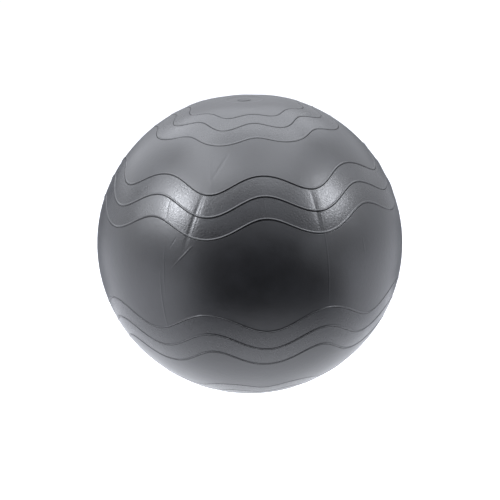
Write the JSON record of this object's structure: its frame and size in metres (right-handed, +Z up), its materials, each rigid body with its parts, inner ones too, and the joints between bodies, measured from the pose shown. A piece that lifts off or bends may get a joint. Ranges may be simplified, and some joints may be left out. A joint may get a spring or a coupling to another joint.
{
  "type": "exercise ball",
  "caption": "Large inflatable exercise ball with wavy raised grip ribs round its girth and poles, and a push-in plug in a shallow valve dimple at the top.",
  "frame": {"origin": "centre of the flat patch that the ball stands on, under the middle of the ball", "axes": "+Z up along the mould's axis, from the lower pole to the valve at the upper pole; -Y lies 6.2 degrees of turn before a crest of the ribs, so the waves tell the sides apart"},
  "size_m": [0.6496, 0.6496, 0.6279],
  "materials": {
    "skin_pvc": "satin soft PVC, rotationally moulded, slightly glossy",
    "seat_pvc": "satin soft PVC, a little duller than the skin",
    "plug_plastic": "dark injection-moulded plastic, fine matte grain"
  },
  "bodies": {
    "ball": {"ball_skin": "skin_pvc", "valve_seat": "seat_pvc"},
    "plug": {"valve_plug": "plug_plastic"}
  },
  "joints": [
    {"name": "plug_pull", "type": "slide", "parent": "ball", "child": "plug", "axis": [0, 0, 1], "range_m": [0, 0.032]}
  ]
}
